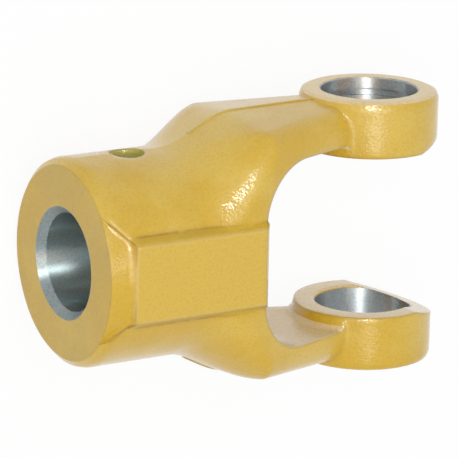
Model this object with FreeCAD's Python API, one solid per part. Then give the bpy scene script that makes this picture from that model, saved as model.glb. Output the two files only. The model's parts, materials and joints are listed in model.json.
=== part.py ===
import FreeCAD, Part
import math
import os

# Forged yoke with two ears, one piece. Millimetres.
# X runs along the hub axis from the hub face to the ear tips, Y along the cross
# axis through both ears, Z along the die direction. The origin is the joint centre.
# The parting plane is Z = 0; the yoke is the same above and below it.

# Cross seats in the ears, for a cross with 22 mm cups, 54 mm over the cups
CUP_R = 11.0
CUP_SEAT_HALF = 27.0
EAR_HALF = 31.25
EAR_INNER_HALF = 18.5
EAR_R = 15.8
EAR_EDGE_ROUND = 1.5
RING_WIDTH = 1.6
RING_R = 11.95
CUP_CHAMFER = 0.35
EAR_BEVEL_X = 4.8
EAR_BEVEL_ANGLE = 16.7
BOSS_ROOT_R = 3.8
ROOT_SUNK = 0.9

# Hub: its forged section, the machined end and the bore
HUB_CROSS_HALF = 23.4
HUB_DIE_HALF = 22.65
HUB_BACK_FLAT = 0.45
HUB_SIDE_FLAT = 1.2
FACE_X = -78.5
FACE_STEP = 1.9
FACE_ROUND = 3.2
BORE_R = 11.0
LEAD_R = 12.6
LEAD_DEPTH = 1.8

# Pin hole through both walls of the hub
PIN_R = 4.0
PIN_X = -63.0

# Side pads of the hub, which stand a little proud of it
PAD_PROUD = 0.35
PAD_Z = HUB_DIE_HALF + PAD_PROUD
PAD_FLAT_HALF = 8.6
PAD_FLANK = 0.63
PAD_END_BEVEL = 1.2

# Turned patch between the hub face and each pad
PATCH_END_X = -73.1
PATCH_SUNK = 0.05
PATCH_RISE = 0.85
PATCH_FILLET = 0.9
PATCH_HALF_FACE = 14.2
PATCH_HALF_END = 8.9

# Arms: the roots swell out of the hub, then a straight taper runs into the ears, in
# two spans so that the ears trim only the short one
ROOT_X = -55.0
ROOT_END_X = -36.5
ROOT_STEP = 3.7
ROOT_BACK = 30.0
ROOT_SIDE = 20.15
ARM_MIDDLE_X = -15.0
ARM_END_X = -10.0
ARM_END_BACK = 30.4
ARM_END_SIDE = 10.4
ARM_CORNER_R = 6.0
BACK_DRAFT = 0.11

# Gap between the ears: wall of the crotch, its round and the inside of the arms
WALL_X = -39.3
WALL_ROUND = 13.0
ARM_INNER = 21.6

# Flash left along the parting line
FLASH_HALF = 0.45
FLASH_PROUD = 0.22

# Rounds of turned edges are made of straight bands, this near to the true round
BAND_SAGITTA = 0.1
# How far a cutter reaches past the metal it takes away
CLEAR = 2.0


def v(x, y, z):
    return FreeCAD.Vector(x, y, z)


def section_wire(x, back, side, corner, draft):
    """Section of the forging: drafted back, round corners, flat sides."""
    lean = math.atan(draft)
    centre_z = side - corner
    centre_y = back - draft * centre_z - corner / math.cos(lean)
    angles = (lean, (lean + math.pi / 2) / 2, math.pi / 2)
    arc = [(centre_y + corner * math.cos(a), centre_z + corner * math.sin(a)) for a in angles]

    edges = []
    for sign_y, sign_z in ((1, 1), (-1, 1), (-1, -1), (1, -1)):
        ridge = v(x, sign_y * back, 0)
        low, middle, high = [v(x, sign_y * y, sign_z * z) for y, z in arc]
        across = v(x, -sign_y * arc[2][0], sign_z * arc[2][1])
        if sign_y == sign_z:
            edges += [Part.makeLine(ridge, low), Part.Arc(low, middle, high).toShape(),
                      Part.makeLine(high, across)]
        else:
            edges += [Part.Arc(high, middle, low).toShape(), Part.makeLine(low, ridge)]
    return Part.Wire(edges)


def hub_corner():
    """Corner radius of the hub's section, which leaves the flats of its back and its sides."""
    return min(HUB_CROSS_HALF - HUB_SIDE_FLAT, HUB_DIE_HALF - HUB_BACK_FLAT)


def root_section(t):
    """Sizes of the section of the arm roots, from the hub at t = 0 to the arms at t = 1."""
    swell = t * t * (3.0 - 2.0 * t)
    x = ROOT_X + (ROOT_END_X - ROOT_X) * t
    back = HUB_CROSS_HALF + (ROOT_BACK - HUB_CROSS_HALF) * swell
    side = HUB_DIE_HALF + (ROOT_SIDE - HUB_DIE_HALF) * t ** 2.5
    corner = hub_corner() + (ARM_CORNER_R - hub_corner()) * t ** 1.6
    return x, back, side, corner, BACK_DRAFT


def root_sections():
    steps = round((ROOT_END_X - ROOT_X) / ROOT_STEP)
    return [root_section(i / steps) for i in range(steps + 1)]


def arm_section(x):
    """Sizes of the section of the arms at a place on their straight taper."""
    part = (x - ROOT_END_X) / (ARM_END_X - ROOT_END_X)
    back = ROOT_BACK + (ARM_END_BACK - ROOT_BACK) * part
    return x, back, arm_side(x), ARM_CORNER_R, BACK_DRAFT


def forging():
    """The forged body as a run of sections: hub, swelling roots, tapering arms."""
    wires = [section_wire(*section) for section in root_sections()]
    hub = Part.Face(wires[0]).extrude(v(FACE_X - ROOT_X, 0, 0))
    roots = Part.makeLoft(wires, True, False, False, 2)
    arm_wires = [section_wire(*arm_section(x)) for x in (ROOT_END_X, ARM_MIDDLE_X, ARM_END_X)]
    arms = [Part.makeLoft(pair, True, True) for pair in (arm_wires[:2], arm_wires[1:])]
    return hub.fuse([roots] + arms)


def flash(sign):
    """Thin plate that stands proud of the back of one arm along the parting line."""
    ridge = [(x, back + FLASH_PROUD) for x, back, side, corner, draft in root_sections()[2:]]
    top = [v(x, sign * y, -FLASH_HALF) for x, y in ridge]
    curve = Part.BSplineCurve()
    curve.interpolate(top)
    end_y = ARM_END_BACK + FLASH_PROUD
    rest = [(ARM_END_X, end_y), (ARM_END_X, ARM_INNER), (ridge[0][0], ARM_INNER)]
    lines = Part.makePolygon([top[-1]] + [v(x, sign * y, -FLASH_HALF) for x, y in rest] + [top[0]])
    outline = Part.Wire([curve.toShape()] + lines.Edges)
    return Part.Face(outline).extrude(v(0, 0, 2 * FLASH_HALF))


def pad(sign):
    """Flat raised pad with sloping flanks along one side of the hub."""
    foot_z = PAD_Z - 7.0
    foot_half = PAD_FLAT_HALF + PAD_FLANK * (PAD_Z - foot_z)
    flat = [(-PAD_FLAT_HALF, PAD_Z), (PAD_FLAT_HALF, PAD_Z)]
    corners = [(-foot_half, foot_z)] + flat + [(foot_half, foot_z)]
    points = [v(FACE_X, y, sign * z) for y, z in corners]
    outline = Part.Face(Part.makePolygon(points + points[:1]))
    return outline.extrude(v(WALL_X + CLEAR - FACE_X, 0, 0))


def pad_end_bevel(sign):
    """What is taken off the end of a pad where it runs out at the crotch."""
    end_x, top = WALL_X + CLEAR, PAD_Z + CLEAR
    reach = PAD_END_BEVEL + 2 * CLEAR
    half = PAD_FLAT_HALF + PAD_FLANK * PAD_END_BEVEL
    outline = [(end_x - reach, top), (end_x, top), (end_x, top - reach)]
    points = [v(x, -half, sign * z) for x, z in outline]
    return Part.Face(Part.makePolygon(points + points[:1])).extrude(v(0, 2 * half, 0))


def gap():
    """Space between the arms: flat crotch wall, a large round on each side and the arms."""
    r = WALL_ROUND
    bend = r * (1.0 - math.sqrt(0.5))
    flat = ARM_INNER - r
    z = -PAD_Z - CLEAR
    tip_x = EAR_R + CLEAR
    edges = [Part.makeLine(v(WALL_X, -flat, z), v(WALL_X, flat, z)),
             Part.makeLine(v(tip_x, ARM_INNER, z), v(tip_x, -ARM_INNER, z))]
    for sign in (1, -1):
        inner = sign * ARM_INNER
        edges.append(Part.Arc(v(WALL_X, sign * flat, z), v(WALL_X + bend, inner - sign * bend, z),
                              v(WALL_X + r, inner, z)).toShape())
        edges.append(Part.makeLine(v(WALL_X + r, inner, z), v(tip_x, inner, z)))
    return Part.Face(Part.Wire(Part.sortEdges(edges)[0])).extrude(v(0, 0, -2 * z))


def round_off(centre, radius, start, end):
    """Places along a round, from one angle to the other, for a profile of straight bands."""
    band = 2.0 * math.degrees(math.acos(1.0 - BAND_SAGITTA / radius))
    bands = max(1, round(abs(end - start) / band))
    angles = [math.radians(start + (end - start) * i / bands) for i in range(bands + 1)]
    return [(centre[0] + radius * math.cos(a), centre[1] + radius * math.sin(a)) for a in angles]


def turned(points, axis):
    """Body turned about one of the axes through the origin."""
    outline = Part.Face(Part.makePolygon(points + points[:1]))
    return outline.revolve(v(0, 0, 0), axis, 360)


def turned_about_x(profile):
    return turned([v(x, 0, r) for x, r in profile], v(1, 0, 0))


def turned_about_y(profile, sign):
    return turned([v(r, sign * y, 0) for r, y in profile], v(0, 1, 0))


def ear(sign):
    """Round ear turned about the cross axis, with a rounded outer edge."""
    centre = (EAR_R - EAR_EDGE_ROUND, EAR_HALF - EAR_EDGE_ROUND)
    edge = round_off(centre, EAR_EDGE_ROUND, 0.0, 90.0)
    inner = [(0.0, EAR_INNER_HALF), (EAR_R, EAR_INNER_HALF)]
    return turned_about_y(inner + edge + [(0.0, EAR_HALF)], sign)


def arm_side(x):
    """Half width of the straight part of the arms at a place along the hub axis."""
    slope = (ARM_END_SIDE - ROOT_SIDE) / (ARM_END_X - ROOT_END_X)
    return ROOT_SIDE + slope * (x - ROOT_END_X)


def boss_root(sign):
    """Concave root that carries the inner boss of an ear into the arm, as wide as the arm."""
    low = ARM_INNER + ROOT_SUNK - BOSS_ROOT_R
    high = ARM_INNER + ROOT_SUNK
    outer = EAR_R + BOSS_ROOT_R
    root = round_off((outer, low), BOSS_ROOT_R, 180.0, 90.0)
    ring = turned_about_y([(0.0, low)] + root + [(0.0, high)], sign)
    plan = [(-outer, arm_side(-outer)), (ARM_END_X, arm_side(ARM_END_X)),
            (ARM_END_X, -arm_side(ARM_END_X)), (-outer, -arm_side(-outer))]
    points = [v(x, sign * low, z) for x, z in plan]
    window = Part.Face(Part.makePolygon(points + points[:1])).extrude(v(0, sign * (high - low), 0))
    return ring.common(window)


def ear_bevel(sign):
    """What is cut off the inner face of an ear toward its tip, so the cross can be tilted in."""
    tip_x = EAR_R + CLEAR
    rise = math.tan(math.radians(EAR_BEVEL_ANGLE)) * (tip_x - EAR_BEVEL_X)
    under = EAR_INNER_HALF - CLEAR
    outline = [(EAR_BEVEL_X, EAR_INNER_HALF), (tip_x, EAR_INNER_HALF + rise), (tip_x, under),
               (EAR_BEVEL_X, under)]
    points = [v(x, sign * y, -EAR_R - CLEAR) for x, y in outline]
    return Part.Face(Part.makePolygon(points + points[:1])).extrude(v(0, 0, 2 * (EAR_R + CLEAR)))


def mouth(at, sign, way):
    """Chamfer of a cup bore at one face of an ear; way is 1 outward and -1 inward."""
    reach = CUP_CHAMFER + CLEAR
    base = v(0, sign * (at - way * CUP_CHAMFER), 0)
    return Part.makeCone(CUP_R, CUP_R + reach, reach, base, v(0, sign * way, 0))


def cup_bores():
    """Everything taken out of both ears along the cross axis."""
    reach = EAR_HALF + CLEAR
    cutters = [Part.makeCylinder(CUP_R, 2 * reach, v(0, -reach, 0), v(0, 1, 0))]
    for sign in (1, -1):
        groove = Part.makeCylinder(RING_R, RING_WIDTH, v(0, sign * CUP_SEAT_HALF, 0), v(0, sign, 0))
        cutters += [groove, mouth(EAR_HALF, sign, 1), mouth(EAR_INNER_HALF, sign, -1)]
    return cutters


def hub_bore():
    """Bore from the hub face to the crotch, with its lead-in."""
    before = FACE_X - CLEAR
    flare = LEAD_R + CLEAR * (LEAD_R - BORE_R) / LEAD_DEPTH
    return turned_about_x([(before, 0.0), (before, flare), (FACE_X + LEAD_DEPTH, BORE_R),
                           (WALL_X + CLEAR, BORE_R), (WALL_X + CLEAR, 0.0)])


def pin_hole():
    reach = HUB_CROSS_HALF + CLEAR
    return Part.makeCylinder(PIN_R, 2 * reach, v(PIN_X, -reach, 0), v(0, 1, 0))


def end_envelope():
    """Turned outline of the hub end; what is outside it is machined away."""
    rim = FACE_ROUND - FACE_STEP
    centre = (FACE_X + math.sqrt(FACE_ROUND ** 2 - rim ** 2), HUB_CROSS_HALF - FACE_ROUND)
    start = 180.0 - math.degrees(math.asin(rim / FACE_ROUND))
    edge = round_off(centre, FACE_ROUND, start, 90.0)
    far_r = EAR_HALF + EAR_R
    run_out = centre[0] + CLEAR
    return turned_about_x([(FACE_X, 0.0)] + edge + [(run_out, HUB_CROSS_HALF + CLEAR), (run_out, far_r),
                                                    (EAR_R + CLEAR, far_r), (EAR_R + CLEAR, 0.0)])


def patch_cut(sign):
    """Shallow turned patch between the hub face and a pad, with a filleted shoulder."""
    start_r = HUB_CROSS_HALF - FACE_STEP - PATCH_SUNK
    centre = (PATCH_END_X - PATCH_FILLET, start_r + PATCH_RISE + PATCH_FILLET)
    shoulder = round_off(centre, PATCH_FILLET, 270.0, 360.0)
    top = PAD_Z + PATCH_HALF_FACE
    ring = turned_about_x([(FACE_X - CLEAR, start_r - CLEAR), (FACE_X, start_r)] + shoulder
                          + [(PATCH_END_X, top), (FACE_X - CLEAR, top)])
    narrowing = (PATCH_HALF_FACE - PATCH_HALF_END) / (PATCH_END_X - FACE_X)
    wide = PATCH_HALF_FACE + CLEAR * narrowing
    tight = PATCH_HALF_END - CLEAR * narrowing
    plan = [(FACE_X - CLEAR, -wide), (FACE_X - CLEAR, wide),
            (PATCH_END_X + CLEAR, tight), (PATCH_END_X + CLEAR, -tight)]
    points = [v(x, y, sign * (PAD_Z - PATCH_HALF_END)) for x, y in plan]
    window = Part.Face(Part.makePolygon(points + points[:1])).extrude(v(0, 0, sign * top))
    return ring.common(window)


def build():
    signs = (1, -1)
    body = forging().fuse([pad(sign) for sign in signs])
    body = body.fuse([flash(sign) for sign in signs])
    body = body.cut(gap())
    for sign in signs:
        body = body.fuse([ear(sign), boss_root(sign)]).cut(ear_bevel(sign))
    body = body.common(end_envelope())
    for sign in signs:
        body = body.cut(patch_cut(sign)).cut(pad_end_bevel(sign))
    for cutter in [hub_bore(), pin_hole()] + cup_bores():
        body = body.cut(cutter)
    return body


os.makedirs("parts", exist_ok=True)
shape = build()
if shape.ShapeType == "Compound" and len(shape.Solids) == 1:
    shape = shape.Solids[0]
print("valid", shape.isValid(), "solids", len(shape.Solids), "faces", len(shape.Faces),
      "volume", round(shape.Volume, 1))
print("box", shape.BoundBox)
print("centre of mass", shape.Solids[0].CenterOfMass)
shape.exportStep("parts/forged_yoke.step")
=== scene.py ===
"""Forged yoke: paint, bare steel, floor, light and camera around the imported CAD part."""

import functools
import json
import math

import bpy
from mathutils import Matrix, Vector

MM = 0.001

# Photograph: side of the image, where its axis falls in it and focal length, in pixels
IMAGE_SIDE = 458.0
AXIS_PX = (220.3, 245.8)
FOCAL_PX = 3682.5
SENSOR_MM = 36.0
CLIP_START = 10.0 * MM

# Camera about the yoke: azimuth and height about the cross axis, roll, distance and aim in metres
AZIMUTH = math.radians(-31.38)
HEIGHT = math.radians(15.58)
ROLL = math.radians(1.26)
DISTANCE = 0.8225
TARGET = Vector((-0.03849, -0.00106, 0.0))

# Colours, linear
YELLOW = (0.63, 0.39, 0.012, 1.0)
YELLOW_PALE = (0.68, 0.46, 0.062, 1.0)
# Pale painted light: on the ear tops, inside the fork and on the pad edges
YELLOW_PAINTED_LIGHT = (0.84, 0.66, 0.37, 1.0)
# Dust on the turned faces, and painted shade on the pads' flanks
YELLOW_DUST_AND_SHADE = (0.53, 0.35, 0.045, 1.0)
YELLOW_OLIVE = (0.60, 0.56, 0.15, 1.0)
# Dark specks, and painted shade in corners and creases
YELLOW_DARK = (0.40, 0.22, 0.014, 1.0)
STEEL = (0.42, 0.46, 0.47, 1.0)
STEEL_COOL = (0.36, 0.44, 0.44, 1.0)
# Painted warm reflection of the yellow paint in the bores
STEEL_WARM_REFLECTION = (0.50, 0.42, 0.35, 1.0)
STEEL_DARK = (0.20, 0.20, 0.20, 1.0)
FLOOR = (0.90, 0.90, 0.90, 1.0)
WHITE = (1.0, 1.0, 1.0, 1.0)

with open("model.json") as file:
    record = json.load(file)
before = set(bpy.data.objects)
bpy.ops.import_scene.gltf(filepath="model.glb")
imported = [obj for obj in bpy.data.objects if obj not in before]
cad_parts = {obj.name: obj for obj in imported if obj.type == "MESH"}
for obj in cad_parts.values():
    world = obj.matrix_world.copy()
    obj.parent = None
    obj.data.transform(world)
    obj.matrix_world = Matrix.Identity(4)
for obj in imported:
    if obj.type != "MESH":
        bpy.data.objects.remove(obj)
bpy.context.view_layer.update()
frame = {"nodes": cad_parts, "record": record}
yoke = frame["nodes"]["forged_yoke"]
mounts = {mount["name"]: mount for mount in frame["record"]["mounts"]}

# Sizes and places that the record states
EAR_BORE_R = mounts["cross_bore"]["dims"]["r_mm"] * MM
EAR_BORE_HALF = mounts["cross_bore"]["dims"]["length_mm"] * MM / 2
PIN_R = mounts["pin_hole"]["dims"]["r_mm"] * MM
PIN_X = mounts["pin_hole"]["pos_m"][0]
FACE_X = mounts["hub_face"]["pos_m"][0]
PAD_Z = mounts["side_pad"]["pos_m"][2]

# Other lines of the yoke that the paint follows
EAR_INNER_HALF = 18.5 * MM
RING_IN = 27.0 * MM
RING_OUT = 28.6 * MM
LEAD_R = 12.6 * MM
LEAD_DEPTH = 1.8 * MM
WALL_X = -39.3 * MM
PAD_END_X = -73.1 * MM
PAD_EDGE_Y = 8.5 * MM
PAD_FLANK_Y = 9.3 * MM
PAD_CREASE_Y = 10.1 * MM


# Middle of the noise, and the share of a soft line's half width over which it is full
NOISE_MIDDLE = 0.5
LINE_CORE = 0.3


class Nodes:
    """Short calls for the nodes of one material or world."""

    def __init__(self, owner):
        owner.use_nodes = True
        self.tree = owner.node_tree
        self.tree.nodes.clear()

    def add(self, kind, settings=None, **inputs):
        """Adds a node and feeds its inputs, which are named or, as _0 and _1, numbered."""
        node = self.tree.nodes.new("ShaderNode" + kind)
        for name, value in (settings or {}).items():
            setattr(node, name, value)
        for name, value in inputs.items():
            key = int(name[1:]) if name.startswith("_") else name.replace("_", " ")
            self.feed(node, key, value)
        return node

    def feed(self, node, key, value):
        """Links a socket to an input, or sets a plain value on it."""
        if isinstance(value, bpy.types.NodeSocket):
            self.tree.links.new(value, node.inputs[key])
        else:
            node.inputs[key].default_value = value

    def math(self, operation, a, b=0.0):
        return self.add("Math", {"operation": operation}, _0=a, _1=b).outputs[0]

    def vector(self, operation, a, b=(0.0, 0.0, 0.0)):
        return self.add("VectorMath", {"operation": operation}, _0=a, _1=b).outputs[0]

    def plus(self, a, b):
        return self.math("ADD", a, b)

    def minus(self, a, b):
        return self.math("SUBTRACT", a, b)

    def times(self, *values):
        """Product: of masks, where all of them hold."""
        return functools.reduce(lambda a, b: self.math("MULTIPLY", a, b), values)

    def largest(self, *values):
        """Largest value: of masks, where any of them holds."""
        return functools.reduce(lambda a, b: self.math("MAXIMUM", a, b), values)

    def ramp(self, value, low, high, at_low, at_high):
        settings = {"interpolation_type": "SMOOTHSTEP"}
        return self.add("MapRange", settings, Value=value, From_Min=low, From_Max=high,
                        To_Min=at_low, To_Max=at_high).outputs[0]

    def above(self, value, limit, blur):
        """1 from the limit up, and 0 at the blur's width below it."""
        return self.ramp(value, limit - blur, limit, 0.0, 1.0)

    def below(self, value, limit, blur):
        """1 from the limit down, and 0 at the blur's width above it."""
        return self.ramp(value, limit, limit + blur, 1.0, 0.0)

    def beside(self, value, line, half):
        """1 on a line and close to it, and 0 at half the width from it."""
        core = LINE_CORE * half
        return self.below(self.math("ABSOLUTE", self.minus(value, line)), core, half - core)

    # The Mix node names its sockets alike for every type, so these two go by their numbers
    def mix_colour(self, share, a, b):
        return self.add("Mix", {"data_type": "RGBA"}, _0=share, _6=a, _7=b).outputs[2]

    def mix_vector(self, share, a, b):
        return self.add("Mix", {"data_type": "VECTOR"}, _0=share, _4=a, _5=b).outputs[1]

    def mix_shader(self, share, a, b):
        return self.add("MixShader", None, _0=share, _1=a, _2=b).outputs[0]

    def noise(self, vector, scale, detail=2.0):
        """Smooth noise, with its waves to the metre as its scale."""
        node = self.add("TexNoise", None, Vector=vector, Scale=scale, Detail=detail)
        return node.outputs["Fac"]

    def patches(self, vector, scale, detail, low, high):
        """Noise stretched into patches: 0 where it is under low, 1 where it is over high."""
        return self.above(self.noise(vector, scale, detail), high, high - low)


# Edge of the paint round the bores: how far it strays, and where it ends
STRAY_SCALE = 320.0
STRAY = 0.6 * MM
BARE_RIM = 0.22 * MM
BARE_RIM_BLUR = 0.08 * MM
GROOVE_MARGIN = 0.03 * MM
GROOVE_REACH = 0.8 * MM
PAINTED_LIP = 0.9 * MM
PAINTED_LIP_BLUR = 0.5 * MM
LEAD_LAP = 0.05 * MM
LEAD_BLUR = 0.15 * MM
HUB_STEEL_END_X = WALL_X + 1.3 * MM
HUB_STEEL_BLUR = 1.0 * MM
WALL_FACING = 0.3
WALL_FACING_BLUR = 0.2
PIN_MARGIN = 0.1 * MM

# Flat faces: how near to the plane a point counts as on it
FACE_NEAR = 0.1 * MM
FACE_BLUR = 0.2 * MM
EAR_TOP_NEAR = 0.1 * MM
PAD_NEAR = 0.05 * MM

# Inner sides of the fork: how far they face inwards, and where their pale painted light ends
FORK_FACING = -0.75
FORK_FACING_BLUR = 0.4
FORK_X = -28.0 * MM
FORK_BLUR = 10.0 * MM
FORK_DRIFT_SCALE = 90.0
FORK_DRIFT_DETAIL = 3.0
FORK_DRIFT = 8.0 * MM

# Small or sharp edges: how far from the hub face, the ear tops and the parting they reach
CRISP_RIM = 0.8 * MM
CRISP_EAR = 0.5 * MM
CRISP_BLUR = 0.4 * MM
CRISP_PARTING = 1.4 * MM
CRISP_PARTING_BLUR = 0.8 * MM

# Sides of the pads: their depth, start, flank, painted crease shade and painted edge highlight
PAD_SIDE_DEPTH = 3.4 * MM
PAD_SIDE_BLUR = 0.6 * MM
PAD_SIDE_START = 2.5 * MM
PAD_SIDE_START_BLUR = 3.0 * MM
FLANK_HALF = 1.3 * MM
CREASE_HALF = 0.35 * MM
CREASE_SHARE = 0.6
CREASE_BREAKS = {"scale": 300.0, "detail": 3.0, "low": 0.30, "high": 0.60}
CREASE_SHADE_HALF = 1.1 * MM
CREASE_SHADE_SHARE = 0.2
CREASE_FADE_X = -54.0 * MM
CREASE_FADE_BLUR = 12.0 * MM
HIGHLIGHT_SIDE_HALF = 0.6 * MM
HIGHLIGHT_END_HALF = 0.45 * MM
HIGHLIGHT_END_BLUR = 0.7 * MM
HIGHLIGHT_DEPTH = 1.1 * MM
HIGHLIGHT_DEPTH_BLUR = 0.5 * MM

# Corners that get painted shade: those off the parting flash and the hub's turned end
OFF_PARTING = 2.2 * MM
OFF_PARTING_BLUR = 1.4 * MM
OFF_TURNED_END = 1.5 * MM


class YokeSurface:
    """Masks over the yoke, from 0 to 1, by where a point lies and which way it faces."""

    def __init__(self, nodes):
        self.nodes = nodes
        self.place = nodes.add("TexCoord").outputs["Object"]
        self.x, self.y, self.z = nodes.add("SeparateXYZ", None, Vector=self.place).outputs
        normal = nodes.add("NewGeometry").outputs["True Normal"]
        facing = nodes.add("SeparateXYZ", None, Vector=normal).outputs
        self.facing_x = facing["X"]
        self.facing_y = facing["Y"]
        self.across = nodes.math("ABSOLUTE", self.y)
        self.off_parting = nodes.math("ABSOLUTE", self.z)
        self.from_cross = self.radius(self.x, self.z)
        self.from_hub = self.radius(self.y, self.z)
        self.from_pin = self.radius(nodes.minus(self.x, PIN_X), self.z)

    def radius(self, a, b):
        n = self.nodes
        return n.math("SQRT", n.plus(n.times(a, a), n.times(b, b)))

    def bare_steel(self):
        """Bored walls, at which the paint ends in an uneven line."""
        n = self.nodes
        stray = n.times(n.minus(n.noise(self.place, STRAY_SCALE), NOISE_MIDDLE), STRAY)
        return n.largest(self.ear_steel(stray), self.hub_steel(stray))

    def ear_steel(self, stray):
        """Bores of the ears with their ring grooves, past a painted lip at the inner mouth."""
        n = self.nodes
        groove = n.times(n.above(self.across, RING_IN - GROOVE_MARGIN, GROOVE_MARGIN),
                         n.below(self.across, RING_OUT + GROOVE_MARGIN, GROOVE_MARGIN))
        depth = n.minus(self.from_cross, n.times(groove, GROOVE_REACH))
        bored = n.below(n.plus(depth, stray), EAR_BORE_R + BARE_RIM, BARE_RIM_BLUR)
        past_lip = n.above(n.plus(self.across, stray), EAR_INNER_HALF + PAINTED_LIP,
                           PAINTED_LIP_BLUR)
        return n.times(bored, past_lip)

    def hub_steel(self, stray):
        """Bore of the hub with its lead-in, but not the wall it opens in or the pin hole."""
        n = self.nodes
        bored = n.below(n.plus(self.from_hub, stray), LEAD_R - LEAD_LAP, LEAD_BLUR)
        off_wall = n.below(self.facing_x, WALL_FACING, WALL_FACING_BLUR)
        in_hub = n.below(self.x, HUB_STEEL_END_X, HUB_STEEL_BLUR)
        off_pin = n.above(self.from_pin, PIN_R + PIN_MARGIN, 2 * PIN_MARGIN)
        return n.times(bored, off_wall, in_hub, off_pin)

    def hub_end(self):
        return self.nodes.below(self.x, FACE_X + FACE_NEAR, FACE_BLUR)

    def ear_top(self):
        return self.nodes.above(self.across, EAR_BORE_HALF - EAR_TOP_NEAR, EAR_TOP_NEAR)

    def machined(self):
        """Painted faces that were turned."""
        return self.nodes.largest(self.hub_end(), self.ear_top())

    def pad(self):
        return self.nodes.above(self.off_parting, -PAD_Z - PAD_NEAR, PAD_NEAR)

    def inside_fork(self):
        """Inner sides of the arms and the ears, which get pale painted light."""
        n = self.nodes
        outward = n.times(self.facing_y, n.math("SIGN", self.y))
        drift = n.times(n.noise(self.place, FORK_DRIFT_SCALE, FORK_DRIFT_DETAIL), FORK_DRIFT)
        return n.times(n.below(outward, FORK_FACING, FORK_FACING_BLUR),
                       n.above(n.plus(self.x, drift), FORK_X, FORK_BLUR))

    def crisp(self):
        """Edges that are small or sharp: the hub end's, the ears' and the flash's."""
        n = self.nodes
        rim = n.below(self.x, FACE_X + CRISP_RIM, CRISP_BLUR)
        ear_edge = n.above(self.across, EAR_BORE_HALF - CRISP_EAR, CRISP_BLUR)
        parting = n.below(self.off_parting, CRISP_PARTING, CRISP_PARTING_BLUR)
        return n.largest(rim, ear_edge, parting)

    def pad_side(self):
        """All that lies little lower than the pads, from the turned end on."""
        n = self.nodes
        return n.times(n.above(self.off_parting, -PAD_Z - PAD_SIDE_DEPTH, PAD_SIDE_BLUR),
                       n.above(self.x, PAD_END_X + PAD_SIDE_START, PAD_SIDE_START_BLUR))

    def pad_flank(self):
        """Steep sides of the pads, matt and darkened with painted shade."""
        n = self.nodes
        return n.times(n.beside(self.across, PAD_FLANK_Y, FLANK_HALF), self.pad_side())

    def pad_crease_shade(self):
        """Foot of the pads' flanks, with painted shade: a dark line in broken runs and a soft
        dark band.
        """
        n = self.nodes
        # Painted shade along the crease: a broken dark line and a soft dark band
        line = n.times(n.beside(self.across, PAD_CREASE_Y, CREASE_HALF), CREASE_SHARE,
                       n.patches(self.place, **CREASE_BREAKS))
        shade = n.times(n.beside(self.across, PAD_CREASE_Y, CREASE_SHADE_HALF),
                        CREASE_SHADE_SHARE)
        fading = n.below(self.x, CREASE_FADE_X, CREASE_FADE_BLUR)
        return n.times(n.plus(line, shade), fading, self.pad_side())

    def pad_edge_highlight(self):
        """Edges of the pads, with a pale painted highlight."""
        n = self.nodes
        side = n.times(n.beside(self.across, PAD_EDGE_Y, HIGHLIGHT_SIDE_HALF), self.pad_side())
        end = n.times(n.beside(self.x, PAD_END_X, HIGHLIGHT_END_HALF),
                      n.below(self.across, PAD_EDGE_Y, HIGHLIGHT_END_BLUR),
                      n.above(self.off_parting, -PAD_Z - HIGHLIGHT_DEPTH, HIGHLIGHT_DEPTH_BLUR))
        return n.largest(side, end)

    def off_the_flash(self):
        """0 along the parting line and at the turned end of the hub, 1 elsewhere."""
        n = self.nodes
        return n.times(n.above(self.off_parting, OFF_PARTING, OFF_PARTING_BLUR),
                       n.above(self.x, PAD_END_X + OFF_TURNED_END, OFF_TURNED_END))


# Edge rounds that the shading adds: on the forged skin, and where it was turned
FORGED_ROUND = 1.7 * MM
FORGED_SAMPLES = 8
TURNED_ROUND = 0.4 * MM
TURNED_SAMPLES = 6

# Paint: patches of noise, and how much of each second colour shows where it is fullest
TONE_DRIFT = {"scale": 60.0, "detail": 4.0, "low": 0.38, "high": 0.68}
PAD_PALE = 0.7
DUST_AND_SHADE_DRIFT = {"scale": 45.0, "detail": 3.0, "low": 0.42, "high": 0.62}
DUST_AND_SHADE_LEAST = 0.45
DUST_AND_SHADE_SWING = 0.45
FLANK_SHADE_SHARE = 0.5
EAR_TOP_LIGHT_SHARE = 0.8
FORK_LIGHT_SHARE = 0.85
PIN_OLIVE = 0.85
PIN_OLIVE_MARGIN = 0.05 * MM
PIN_OLIVE_BLUR = 0.1 * MM
SPECK_LOW = 0.42
SPECK_HIGH = 0.72
SPECK_SHARE = 0.22
EDGE_HIGHLIGHT_SHARE = 0.16

# Painted shade in the corners: how far it looks round, how closed the corner is, and its share
CORNER_REACH = 0.9 * MM
CORNER_SAMPLES = 8
CORNER_CLOSED = 0.40
CORNER_BLUR = 0.35
CORNER_SHADE_SHARE = 0.6

# Paint: its grain, gloss and matt places
GRAIN_SCALE = 1700.0
GRAIN_DETAIL = 3.0
SWELL_SCALE = 300.0
SWELL_SHARE = 1.3
RELIEF = 0.075 * MM
SMOOTHED_SHARE = 0.5
FLANK_MATT = 0.7
MACHINED_MATT = 0.4
FULL_GLOSS = 0.85
ROUGHNESS = 0.5
FLANK_ROUGHER = 0.5


def soft_edges(nodes, surface):
    """Normals with the edges rounded: widely on the forged skin, finely where it was turned."""
    forged = nodes.add("Bevel", {"samples": FORGED_SAMPLES}, Radius=FORGED_ROUND).outputs[0]
    turned = nodes.add("Bevel", {"samples": TURNED_SAMPLES}, Radius=TURNED_ROUND).outputs[0]
    return nodes.vector("NORMALIZE", nodes.mix_vector(surface.crisp(), forged, turned))


def drifting_yellow(nodes, surface):
    """Yellow that pales in drifts and on the pads."""
    drift = nodes.patches(surface.place, **TONE_DRIFT)
    tone = nodes.largest(drift, nodes.times(surface.pad(), PAD_PALE))
    return nodes.mix_colour(tone, YELLOW, YELLOW_PALE)


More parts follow.
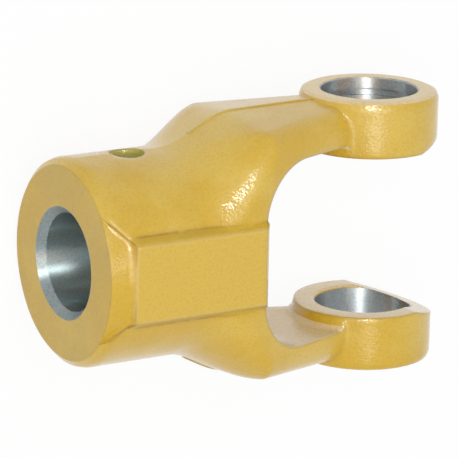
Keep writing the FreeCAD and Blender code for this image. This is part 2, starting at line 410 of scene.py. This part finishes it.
def add_dust_and_flank_shade(nodes, surface, colour):
    """Dust on the turned faces, and painted shade on the pads' flanks."""
    # Painted shade darkens the pads' flanks; the turned faces get dust
    where = nodes.largest(surface.machined(), nodes.times(surface.pad_flank(), FLANK_SHADE_SHARE))
    drift = nodes.times(nodes.patches(surface.place, **DUST_AND_SHADE_DRIFT), DUST_AND_SHADE_SWING)
    share = nodes.times(where, nodes.plus(DUST_AND_SHADE_LEAST, drift))
    return nodes.mix_colour(share, colour, YELLOW_DUST_AND_SHADE)


def add_painted_light(nodes, surface, colour):
    """Pale painted light on the ear tops and inside the fork."""
    # Painted light: the ear tops and the inner sides of the fork are made paler
    share = nodes.largest(nodes.times(surface.ear_top(), EAR_TOP_LIGHT_SHARE),
                          nodes.times(surface.inside_fork(), FORK_LIGHT_SHARE))
    return nodes.mix_colour(share, colour, YELLOW_PAINTED_LIGHT)


def add_marks(nodes, surface, grain, colour):
    """Olive tone in the pin hole, dark specks in the grain, and a pale painted highlight on the
    pad edges.
    """
    in_pin = nodes.below(surface.from_pin, PIN_R + PIN_OLIVE_MARGIN, PIN_OLIVE_BLUR)
    colour = nodes.mix_colour(nodes.times(in_pin, PIN_OLIVE), colour, YELLOW_OLIVE)
    specks = nodes.times(nodes.above(grain, SPECK_HIGH, SPECK_HIGH - SPECK_LOW), SPECK_SHARE)
    colour = nodes.mix_colour(specks, colour, YELLOW_DARK)
    # Painted highlight along the pads' edges
    return nodes.mix_colour(nodes.times(surface.pad_edge_highlight(), EDGE_HIGHLIGHT_SHARE), colour, YELLOW_PAINTED_LIGHT)


def add_painted_shade(nodes, surface, colour):
    """Painted shade: darker in the corners, and in the creases beside the pads."""
    corner = nodes.add("AmbientOcclusion", {"samples": CORNER_SAMPLES, "only_local": True},
                       Distance=CORNER_REACH).outputs["AO"]
    # Painted shade: the colour darkens where the ambient occlusion finds a closed corner
    corner_shade = nodes.times(nodes.below(corner, CORNER_CLOSED, CORNER_BLUR), CORNER_SHADE_SHARE,
                         surface.off_the_flash())
    dark = nodes.largest(corner_shade, surface.pad_crease_shade())
    return nodes.mix_colour(dark, colour, YELLOW_DARK)


def paint_colour(nodes, surface, grain):
    colour = drifting_yellow(nodes, surface)
    colour = add_dust_and_flank_shade(nodes, surface, colour)
    colour = add_painted_light(nodes, surface, colour)
    colour = add_marks(nodes, surface, grain, colour)
    return add_painted_shade(nodes, surface, colour)


def paint_relief(nodes, surface, grain):
    """Normals of a grainy skin, half as rough on the machined faces and the pads."""
    swell = nodes.noise(surface.place, SWELL_SCALE)
    height = nodes.plus(nodes.times(swell, SWELL_SHARE), grain)
    smooth = nodes.largest(surface.machined(), surface.pad())
    strength = nodes.minus(1.0, nodes.times(smooth, SMOOTHED_SHARE))
    return nodes.add("Bump", None, Height=height, Distance=RELIEF, Strength=strength,
                     Normal=soft_edges(nodes, surface)).outputs[0]


def yellow_paint(nodes, surface):
    """Gloss enamel over a forged skin, matt on the turned faces and the pads' flanks."""
    grain = nodes.noise(surface.place, GRAIN_SCALE, GRAIN_DETAIL)
    flank = surface.pad_flank()
    matt = nodes.largest(nodes.times(flank, FLANK_MATT),
                         nodes.times(surface.machined(), MACHINED_MATT))
    gloss = nodes.times(nodes.minus(1.0, matt), FULL_GLOSS)
    roughness = nodes.plus(ROUGHNESS, nodes.times(flank, FLANK_ROUGHER))
    relief = paint_relief(nodes, surface, grain)
    return nodes.add("BsdfPrincipled", None, Base_Color=paint_colour(nodes, surface, grain),
                     Roughness=roughness, IOR=1.3, Coat_Weight=gloss, Coat_Roughness=0.06,
                     Coat_IOR=1.52, Sheen_Weight=0.12, Sheen_Roughness=0.4,
                     Normal=relief, Coat_Normal=relief).outputs[0]


# Steel: brushed about an axis a little off the bore's, because no normal may lie along it
EAR_STEEL_BLUR = 0.5 * MM
OFF_AXIS = 0.06

# Steel: marks of the boring tool, painted warm reflections in streaks, grit and the dull lead-in
MARKS_SCALE = 2600.0
MARKS_DETAIL = 3.0
MARKS_RELIEF = 0.03 * MM
MARKS_STRENGTH = 0.6
STREAK_STRETCH = (0.85, 0.85, 0.85)
REFLECTION_STREAKS = {"scale": 260.0, "detail": 3.0, "low": 0.48, "high": 0.66}
HUB_REFLECTION_STREAKS_LESS = 0.6
GRIT = {"scale": 2400.0, "detail": 2.0, "low": 0.4, "high": 0.7}
GRIT_SHARE = 0.4
LEAD_DULL = 0.25
LEAD_NEAR = LEAD_DEPTH - 0.1 * MM
LEAD_END_BLUR = 0.3 * MM


def warm_reflection_streaks(nodes, surface, axis, in_hub):
    """Share of painted warm reflections, in streaks along the bores, fewer in the hub."""
    lengthways = nodes.vector("MULTIPLY", axis, surface.place)
    shortened = nodes.vector("MULTIPLY", lengthways, STREAK_STRETCH)
    stretched = nodes.vector("SUBTRACT", surface.place, shortened)
    fewer = nodes.minus(1.0, nodes.times(in_hub, HUB_REFLECTION_STREAKS_LESS))
    return nodes.times(nodes.patches(stretched, **REFLECTION_STREAKS), fewer)


def steel_colour(nodes, surface, axis, in_hub):
    """Grey steel, cooler in the hub, with painted warm reflections in streaks, dark grit and a
    dull lead-in.
    """
    colour = nodes.mix_colour(in_hub, STEEL, STEEL_COOL)
    # Painted reflection: warm streaks of the yellow paint along the bores
    warm_reflections = warm_reflection_streaks(nodes, surface, axis, in_hub)
    colour = nodes.mix_colour(warm_reflections, colour, STEEL_WARM_REFLECTION)
    grit = nodes.times(nodes.patches(surface.place, **GRIT), GRIT_SHARE)
    lead = nodes.below(surface.x, FACE_X + LEAD_NEAR, LEAD_END_BLUR)
    worn = nodes.plus(grit, nodes.times(lead, LEAD_DULL))
    return nodes.mix_colour(worn, colour, STEEL_DARK)


def turning_marks(nodes, surface, in_ear, in_hub):
    """Normals of the rings that the boring tool left."""
    along = nodes.plus(nodes.times(surface.x, in_hub), nodes.times(surface.y, in_ear))
    ring = nodes.add("CombineXYZ", None, X=along).outputs[0]
    height = nodes.noise(ring, MARKS_SCALE, MARKS_DETAIL)
    return nodes.add("Bump", None, Height=height, Distance=MARKS_RELIEF,
                     Strength=MARKS_STRENGTH).outputs[0]


def bored_steel(nodes, surface):
    """Bare steel brushed round by the boring tool, so that it shines along the bore."""
    in_ear = nodes.above(surface.across, EAR_INNER_HALF, EAR_STEEL_BLUR)
    in_hub = nodes.minus(1.0, in_ear)
    axis = nodes.add("CombineXYZ", None, X=in_hub, Y=in_ear, Z=OFF_AXIS).outputs[0]
    return nodes.add("BsdfPrincipled", None,
                     Base_Color=steel_colour(nodes, surface, axis, in_hub), Metallic=1.0,
                     Roughness=0.40, Anisotropic=0.92, Tangent=axis,
                     Normal=turning_marks(nodes, surface, in_ear, in_hub)).outputs[0]


def yoke_material():
    """Paint and bare steel in one material, because the yoke is one solid."""
    material = bpy.data.materials.new("yellow_paint_and_steel")
    nodes = Nodes(material)
    surface = YokeSurface(nodes)
    whole = nodes.mix_shader(surface.bare_steel(), yellow_paint(nodes, surface),
                             bored_steel(nodes, surface))
    nodes.add("OutputMaterial", None, Surface=whole)
    return material


def dress_yoke():
    yoke.data.materials.clear()
    yoke.data.materials.append(yoke_material())


# Studio: half the floor's side in metres, how white it looks, and the world's light
FLOOR_HALF = 3.0
FLOOR_WHITE = 0.93
WORLD_LIGHT = 0.53

# Lamps: direction in the picture as right, up and towards, distance and size in metres, watts
FRONT_BOX = {"direction": (0.2, -0.15, 0.97), "distance": 1.2, "size": 0.9, "power": 8.8}
GLINT = {"direction": (0.13, 0.21, 0.97), "distance": 0.8, "size": 0.17, "power": 4.3}


def camera_axes():
    """Directions towards the camera, right and up in the picture, in the yoke's frame."""
    towards = Vector((math.sin(AZIMUTH) * math.cos(HEIGHT), math.sin(HEIGHT),
                      math.cos(AZIMUTH) * math.cos(HEIGHT)))
    level = Vector((0.0, 1.0, 0.0)).cross(towards).normalized()
    upright = towards.cross(level)
    right = math.cos(ROLL) * level + math.sin(ROLL) * upright
    up = math.cos(ROLL) * upright - math.sin(ROLL) * level
    return towards, right, up


def stand(obj, where, towards, up):
    """Puts a lamp or the camera in the scene at a place, facing against a direction."""
    z = towards.normalized()
    x = up.cross(z).normalized()
    turn = Matrix((x, z.cross(x), z)).transposed()
    bpy.context.scene.collection.objects.link(obj)
    obj.matrix_world = Matrix.Translation(where) @ turn.to_4x4()


def make_camera():
    """Camera of the photograph, with its shift."""
    towards, _, up = camera_axes()
    data = bpy.data.cameras.new("photo_camera")
    data.sensor_width = SENSOR_MM
    data.lens = FOCAL_PX / IMAGE_SIDE * SENSOR_MM
    data.shift_x = (IMAGE_SIDE / 2 - AXIS_PX[0]) / IMAGE_SIDE
    data.shift_y = (AXIS_PX[1] - IMAGE_SIDE / 2) / IMAGE_SIDE
    data.clip_start = CLIP_START
    camera = bpy.data.objects.new("photo_camera", data)
    stand(camera, TARGET + DISTANCE * towards, towards, up)
    bpy.context.scene.camera = camera


def softbox(name, direction, distance, size, power):
    """Square area lamp that faces the yoke."""
    towards, right, up = camera_axes()
    aim = direction[0] * right + direction[1] * up + direction[2] * towards
    aim.normalize()
    data = bpy.data.lights.new(name, "AREA")
    data.size = size
    data.energy = power
    lamp = bpy.data.objects.new(name, data)
    stand(lamp, TARGET + distance * aim, aim, towards)
    return lamp


def make_lamps():
    """A wide box for the light, and a small lamp that only the gloss shows."""
    softbox("front_box", **FRONT_BOX)
    glint = softbox("flash", **GLINT)
    glint.visible_diffuse = False


def seen_directly(nodes):
    """1 for rays from the camera and for mirror and glass rays, 0 for scattered light."""
    path = nodes.add("LightPath").outputs
    return nodes.largest(path["Is Camera Ray"], path["Is Glossy Ray"],
                         path["Is Transmission Ray"])


def floor_material():
    """White where it is seen directly, and pale in the light that it scatters."""
    material = bpy.data.materials.new("floor")
    nodes = Nodes(material)
    plain = nodes.add("BsdfDiffuse", None, Color=FLOOR).outputs[0]
    white = nodes.add("Emission", None, Color=WHITE, Strength=1.0).outputs[0]
    share = nodes.times(seen_directly(nodes), FLOOR_WHITE)
    nodes.add("OutputMaterial", None, Surface=nodes.mix_shader(share, plain, white))
    return material


def make_floor():
    """Pale floor under the yoke, which looks white and keeps a light shadow."""
    mesh = bpy.data.meshes.new("floor")
    corners = [(-1, -1), (1, -1), (1, 1), (-1, 1)]
    mesh.from_pydata([(x * FLOOR_HALF, y * FLOOR_HALF, PAD_Z) for x, y in corners], [],
                     [(0, 1, 2, 3)])
    mesh.materials.append(floor_material())
    floor = bpy.data.objects.new("floor", mesh)
    bpy.context.scene.collection.objects.link(floor)


def make_world():
    """White all round, and dimmer in the light that it throws on the yoke."""
    world = bpy.data.worlds.new("studio")
    bpy.context.scene.world = world
    nodes = Nodes(world)
    strength = nodes.add("MapRange", None, Value=seen_directly(nodes), To_Min=WORLD_LIGHT,
                         To_Max=1.0).outputs[0]
    sky = nodes.add("Background", None, Color=WHITE, Strength=strength).outputs[0]
    nodes.add("OutputWorld", None, Surface=sky)


bpy.context.scene.view_settings.view_transform = "Standard"
make_camera()
make_world()
make_floor()
make_lamps()
dress_yoke()
